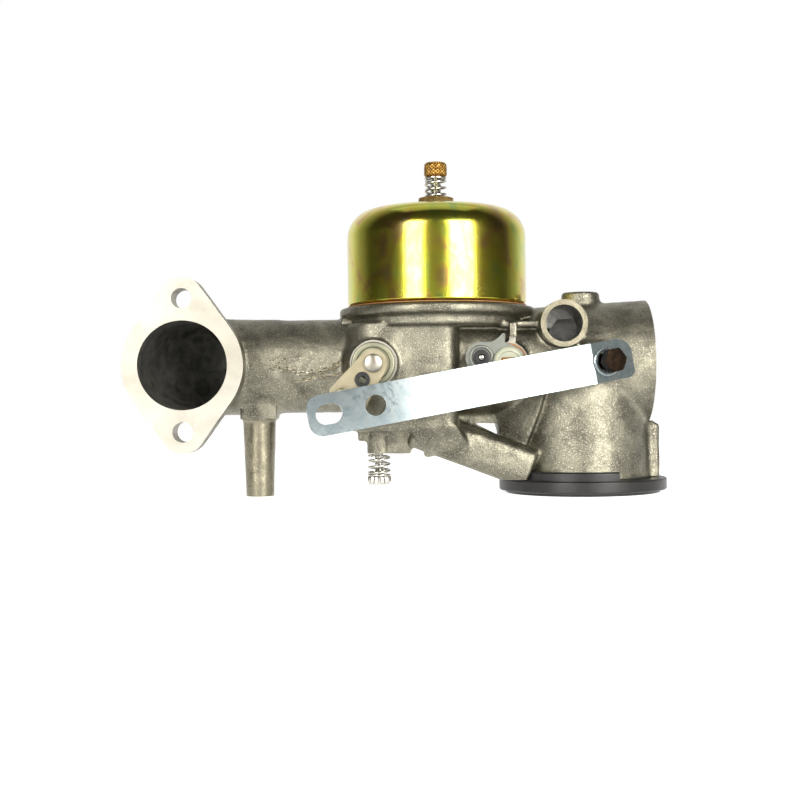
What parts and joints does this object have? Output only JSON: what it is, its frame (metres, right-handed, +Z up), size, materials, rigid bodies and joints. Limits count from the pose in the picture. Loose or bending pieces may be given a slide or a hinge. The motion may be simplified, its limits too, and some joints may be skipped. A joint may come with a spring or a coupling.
{
  "type": "carburetor",
  "caption": "Side-draught float carburetor with intake elbow and two-bolt flange, plated float bowl, throttle and choke levers, idle and high-speed screws, brace strap and rubber air horn seal.",
  "frame": {"origin": "centre of the air inlet under the air horn, on the plane that the rubber seal and the support post stand on", "axes": "+X from the intake flange towards the air horn, +Y away from the lever side, +Z up towards the float bowl"},
  "size_m": [0.1744, 0.0846, 0.1099],
  "materials": {
    "cast_aluminium": "die cast, satin, granular",
    "yellow_dichromate": "yellow dichromate plate, iridescent, glossy",
    "brass": "turned, satin",
    "bright_steel": "bright",
    "zinc_plate": "blue-white zinc plate, spangled",
    "yellow_zinc_plate": "pale yellow zinc plate",
    "black_rubber": "satin",
    "black_plastic": "satin",
    "brown_fibre": "matt",
    "cream_plastic": "satin",
    "dark_steel": "dark brown, oiled"
  },
  "bodies": {
    "root": {"carburetor_body": "cast_aluminium", "float_bowl": "yellow_dichromate", "bowl_gasket": "brown_fibre", "packing_nut": "brass", "packing_nut_washer": "brown_fibre", "high_speed_spring": "bright_steel", "idle_spring": "bright_steel", "main_nozzle": "brass", "float_hinge_pin": "bright_steel", "inlet_seat": "brass", "fuel_inlet_nipple": "brass", "throttle_dust_washer": "yellow_zinc_plate", "choke_washer": "brown_fibre", "strap_screw": "dark_steel", "air_cleaner_seal": "black_rubber", "air_horn_plug": "bright_steel", "idle_passage_plug": "bright_steel"},
    "high_speed_seat": {"high_speed_spring_washer": "bright_steel"},
    "high_speed_screw": {"high_speed_needle": "brass"},
    "idle_seat": {"idle_spring_washer": "bright_steel"},
    "idle_screw": {"idle_needle": "bright_steel"},
    "throttle": {"throttle_shaft": "bright_steel", "throttle_disc": "brass", "throttle_disc_screw_1": "bright_steel", "throttle_disc_screw_2": "bright_steel", "throttle_lever": "yellow_zinc_plate", "throttle_lever_bushing": "black_plastic"},
    "choke": {"choke_shaft": "brass", "choke_disc": "zinc_plate", "choke_disc_screw_1": "bright_steel", "choke_disc_screw_2": "bright_steel", "choke_hub": "cream_plastic", "choke_lever": "zinc_plate", "choke_link_bushing": "black_plastic", "choke_link_pin": "bright_steel"},
    "float_arm": {"float": "black_plastic"},
    "needle_valve": {"inlet_needle": "bright_steel"},
    "strap": {"brace_strap": "zinc_plate"}
  },
  "joints": [
    {"name": "throttle_turn", "type": "hinge", "parent": "root", "child": "throttle", "pos_m": [-0.0687, 0, 0.0426], "axis": [0, -1, 0], "range_deg": [0, 75]},
    {"name": "choke_turn", "type": "hinge", "parent": "root", "child": "choke", "pos_m": [-0.026, 0, 0.0426], "axis": [0, -1, 0], "range_deg": [0, 75]},
    {"name": "high_speed_travel", "type": "slide", "parent": "root", "child": "high_speed_seat", "axis": [0, 0, 1], "range_m": [-0.00119, 0.00158], "deforming": ["high_speed_spring"]},
    {"name": "high_speed_turn", "type": "hinge", "parent": "high_speed_seat", "child": "high_speed_screw", "pos_m": [-0.0478, 0, 0.1], "axis": [0, 0, 1], "range_deg": [-540, 720]},
    {"name": "idle_travel", "type": "slide", "parent": "root", "child": "idle_seat", "axis": [0, 0, -1], "range_m": [-0.00119, 0.00119], "deforming": ["idle_spring"]},
    {"name": "idle_turn", "type": "hinge", "parent": "idle_seat", "child": "idle_screw", "pos_m": [-0.0675, -0.008, 0.01], "axis": [0, 0, -1], "range_deg": [-540, 540]},
    {"name": "float_swing", "type": "hinge", "parent": "root", "child": "float_arm", "pos_m": [-0.0478, 0.0223, 0.0652], "axis": [-1, 0, 0], "range_deg": [0, 8]},
    {"name": "inlet_needle_lift", "type": "slide", "parent": "root", "child": "needle_valve", "axis": [0, 0, 1], "range_m": [0, 0.0009]},
    {"name": "strap_swing", "type": "hinge", "parent": "root", "child": "strap", "pos_m": [0.004, -0.0248, 0.04245], "axis": [0.371, -0.9277, 0.042], "range_deg": [0, 11]}
  ],
  "couplings": [
    {"joint": "high_speed_turn", "follows": "high_speed_travel", "rad_per_m": 7953.4},
    {"joint": "idle_turn", "follows": "idle_travel", "rad_per_m": 7953.4},
    {"joint": "inlet_needle_lift", "follows": "float_swing", "m_per_rad": 0.0057}
  ]
}
